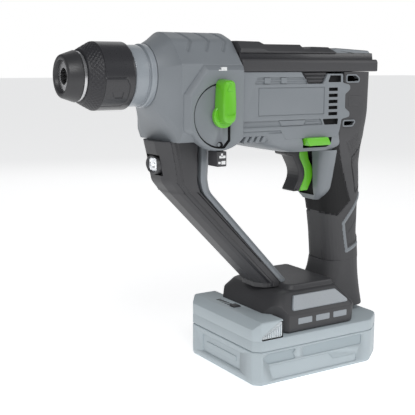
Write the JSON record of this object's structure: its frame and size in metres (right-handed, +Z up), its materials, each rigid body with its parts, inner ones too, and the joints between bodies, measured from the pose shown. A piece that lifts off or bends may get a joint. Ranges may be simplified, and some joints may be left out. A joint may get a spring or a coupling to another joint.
{
  "type": "rotary hammer",
  "caption": "Cordless rotary hammer with a keyless slotted-shank chuck, mode lever, front strut that closes a hand loop, trigger grip and a slide-on battery.",
  "frame": {"origin": "on the surface that the battery stands on, under the middle of the battery's length and width", "axes": "+X along the spindle towards the bit, +Y to the tool's left, where the mode lever is, +Z up"},
  "size_m": [0.2337, 0.0868, 0.2348],
  "materials": {
    "housing_grey": "fine spark texture",
    "collar_grey": "smooth satin",
    "cover_black": "fine spark texture",
    "grip_rubber": "soft matt",
    "sleeve_black": "satin",
    "trigger_black": "smooth",
    "accent_green": "satin",
    "lens_clear": "clear",
    "steel": "ground",
    "magnet": "sintered",
    "alloy": "die cast",
    "copper": "enamelled",
    "dark_moulding": "moulded",
    "battery_pale": "fine spark texture",
    "cell_wrap": "shrink wrap",
    "board_green": "solder mask"
  },
  "bodies": {
    "frame": {"head_housing": "housing_grey", "neck_collar": "collar_grey", "spindle_bearing": "steel", "oil_seal": "grip_rubber", "inner_flange": "alloy", "shaft_bearings": "steel", "motor_bearings": "steel", "motor_can": "steel", "motor_magnets": "magnet", "brush_gear": "dark_moulding", "selector_plate": "housing_grey", "selector_tab": "cover_black", "casing_left": "housing_grey", "casing_right": "housing_grey", "top_cover": "cover_black", "rear_cover": "grip_rubber", "grip_cover": "grip_rubber", "strut_collar": "cover_black", "strut_cover": "cover_black", "led_bezel": "cover_black", "led_lens": "lens_clear", "foot_base": "cover_black", "terminal_block": "dark_moulding", "switch_module": "dark_moulding", "casing_screws": "steel"},
    "rotor": {"rotor_shaft": "steel", "rotor_core": "steel", "rotor_windings": "copper", "commutator": "copper", "motor_fan": "dark_moulding"},
    "spindle": {"spindle_tube": "steel", "bit_holder": "steel", "spindle_gear": "steel", "locking_balls": "steel", "chuck_spring": "steel", "retaining_ring": "steel", "dust_cap": "grip_rubber"},
    "sleeve": {"locking_sleeve": "sleeve_black"},
    "striker": {"striker": "steel"},
    "bolt": {"impact_bolt": "steel"},
    "piston": {"piston": "steel", "piston_pin": "steel"},
    "wobble": {"wobble_ring": "steel", "wobble_balls": "steel"},
    "layshaft": {"intermediate_shaft": "steel", "intermediate_gear": "steel", "spindle_pinion": "steel", "wobble_hub": "steel"},
    "clutch": {"clutch_sleeve": "steel"},
    "fork": {"shift_fork": "steel"},
    "selector": {"selector_lever": "accent_green"},
    "trigger": {"trigger": "trigger_black"},
    "direction": {"direction_switch": "accent_green"},
    "battery": {"battery_lower_case": "battery_pale", "battery_upper_case": "battery_pale", "battery_cells": "cell_wrap", "battery_board": "board_green"},
    "latch_left": {"battery_latch_left": "battery_pale"},
    "latch_right": {"battery_latch_right": "battery_pale"},
    "charge_button": {"charge_button": "battery_pale"}
  },
  "joints": [
    {"name": "rotor_spin", "type": "hinge", "parent": "frame", "child": "rotor", "pos_m": [0, 0, 0.1932], "axis": [1, 0, 0], "continuous": true},
    {"name": "layshaft_spin", "type": "hinge", "parent": "frame", "child": "layshaft", "pos_m": [0.062, 0, 0.178], "axis": [1, 0, 0], "continuous": true},
    {"name": "spindle_spin", "type": "hinge", "parent": "frame", "child": "spindle", "pos_m": [0.102, 0, 0.2056], "axis": [1, 0, 0], "continuous": true},
    {"name": "sleeve_pull", "type": "slide", "parent": "spindle", "child": "sleeve", "axis": [-1, 0, 0], "range_m": [0, 0.005], "stiffness_N_per_m": 1200, "springref_m": -0.004},
    {"name": "striker_slide", "type": "slide", "parent": "frame", "child": "striker", "axis": [-1, 0, 0], "range_m": [0, 0.0065]},
    {"name": "bolt_slide", "type": "slide", "parent": "frame", "child": "bolt", "axis": [1, 0, 0], "range_m": [0, 0.004]},
    {"name": "wobble_swing", "type": "hinge", "parent": "frame", "child": "wobble", "pos_m": [0.061, 0, 0.178], "axis": [0, 1, 0], "range_deg": [-11.81, 11.81]},
    {"name": "piston_slide", "type": "slide", "parent": "frame", "child": "piston", "axis": [1, 0, 0], "range_m": [-0.00568, 0.00568]},
    {"name": "clutch_slide", "type": "slide", "parent": "layshaft", "child": "clutch", "axis": [1, 0, 0], "range_m": [0, 0.006]},
    {"name": "fork_slide", "type": "slide", "parent": "frame", "child": "fork", "axis": [1, 0, 0], "range_m": [0, 0.006]},
    {"name": "selector_turn", "type": "hinge", "parent": "frame", "child": "selector", "pos_m": [0.08, 0.03, 0.181], "axis": [0, 1, 0], "range_deg": [0, 180.01]},
    {"name": "trigger_pull", "type": "slide", "parent": "frame", "child": "trigger", "axis": [-1, 0, 0], "range_m": [0, 0.006], "stiffness_N_per_m": 800, "springref_m": -0.004},
    {"name": "direction_push", "type": "slide", "parent": "frame", "child": "direction", "axis": [0, 1, 0], "range_m": [-0.003, 0.003]},
    {"name": "battery_slide", "type": "slide", "parent": "frame", "child": "battery", "axis": [1, 0, 0], "range_m": [0, 0.09]},
    {"name": "latch_left_press", "type": "slide", "parent": "battery", "child": "latch_left", "axis": [0, -1, 0], "range_m": [0, 0.003], "stiffness_N_per_m": 1500, "springref_m": -0.002},
    {"name": "latch_right_press", "type": "slide", "parent": "battery", "child": "latch_right", "axis": [0, 1, 0], "range_m": [0, 0.003], "stiffness_N_per_m": 1500, "springref_m": -0.002},
    {"name": "charge_press", "type": "slide", "parent": "battery", "child": "charge_button", "axis": [0, 0, -1], "range_m": [0, 0.001], "stiffness_N_per_m": 500, "springref_m": -0.001}
  ],
  "couplings": [
    {"joint": "layshaft_spin", "follows": "rotor_spin", "ratio": -0.35714},
    {"joint": "spindle_spin", "follows": "rotor_spin", "ratio": 0.15625},
    {"joint": "wobble_swing", "follows": "piston_slide", "rad_per_m": 36.232},
    {"joint": "clutch_slide", "follows": "fork_slide", "ratio": 1},
    {"joint": "selector_turn", "follows": "fork_slide", "rad_per_m": 523.6}
  ]
}
